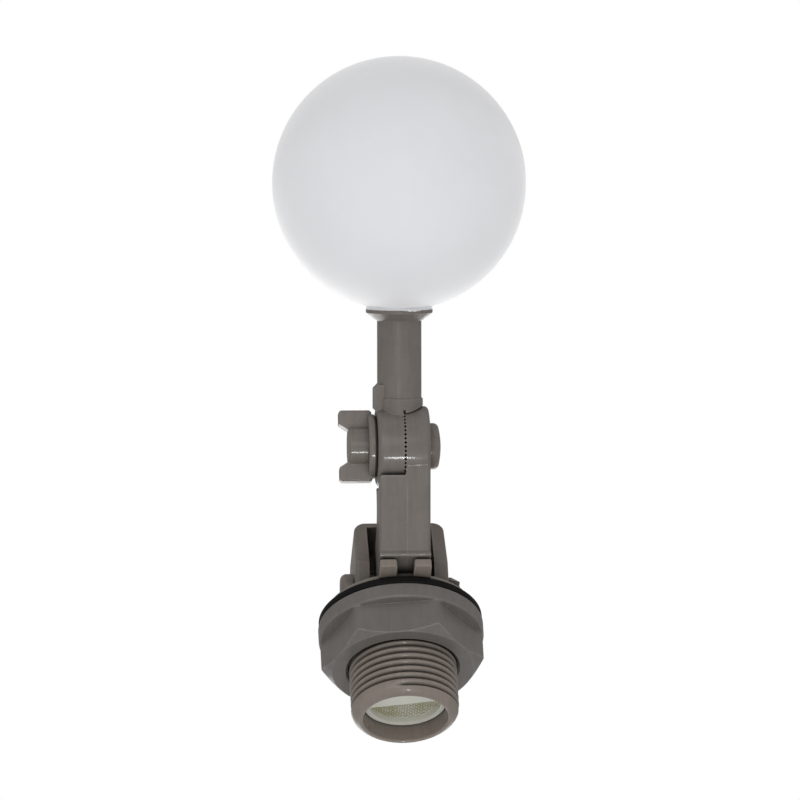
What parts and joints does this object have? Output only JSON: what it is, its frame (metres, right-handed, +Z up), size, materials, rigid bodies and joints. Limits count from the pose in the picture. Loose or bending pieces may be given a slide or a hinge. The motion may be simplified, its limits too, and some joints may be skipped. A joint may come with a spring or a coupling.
{
  "type": "float valve",
  "caption": "Side-inlet tank float valve with threaded inlet, flange gasket, lock nut, pivoting lever, serrated arm clamp with wing nut, and a hollow ball float.",
  "frame": {"origin": "centre of the flange face that seals on the tank wall, on the inlet axis", "axes": "-Y along the inlet spigot, out of the tank; +Y into the tank; +Z up as installed, lever and float hanging below; X along the lever pin, wing nut on +X"},
  "size_m": [0.061, 0.1381, 0.1207],
  "materials": {
    "body_plastic": "moulded",
    "nut_plastic": "moulded",
    "arm_plastic": "moulded",
    "pin_plastic": "moulded",
    "gasket_rubber": "matt",
    "strainer_plastic": "moulded",
    "screen_mesh": "woven",
    "nozzle_plastic": "moulded",
    "float_plastic": "moulded"
  },
  "bodies": {
    "body": {"valve_body": "body_plastic", "flange_gasket": "gasket_rubber", "inlet_strainer": "strainer_plastic", "strainer_mesh": "screen_mesh", "orifice_nozzle": "nozzle_plastic", "nozzle_o_ring": "gasket_rubber", "lever_pin": "pin_plastic"},
    "nut": {"lock_nut": "nut_plastic"},
    "valve": {"plunger": "nozzle_plastic", "plunger_seal": "gasket_rubber"},
    "lever_arm": {"lever": "arm_plastic", "clamp_bolt": "pin_plastic"},
    "float_arm": {"upper_arm": "arm_plastic", "float_ball": "float_plastic"},
    "clamp_nut": {"wing_nut": "pin_plastic"}
  },
  "joints": [
    {"name": "lever_pivot", "type": "hinge", "parent": "body", "child": "lever_arm", "pos_m": [0, 0.0066, -0.0037], "axis": [1, 0, 0], "range_deg": [0, 30]},
    {"name": "plunger_slide", "type": "slide", "parent": "body", "child": "valve", "axis": [0, -1, 0], "range_m": [0, 0.00238]},
    {"name": "arm_clamp", "type": "hinge", "parent": "lever_arm", "child": "float_arm", "pos_m": [0, 0.02856, -0.03241], "axis": [1, 0, 0], "range_deg": [-75, 75]},
    {"name": "wing_nut_turn", "type": "hinge", "parent": "lever_arm", "child": "clamp_nut", "pos_m": [0, 0.02856, -0.03241], "axis": [1, 0, 0], "range_deg": [0, 360]},
    {"name": "lock_nut_travel", "type": "slide", "parent": "body", "child": "nut", "axis": [0, -1, 0], "range_m": [0, 0.0125]}
  ],
  "couplings": [
    {"joint": "plunger_slide", "follows": "lever_pivot", "m_per_rad": 0.0045414}
  ]
}
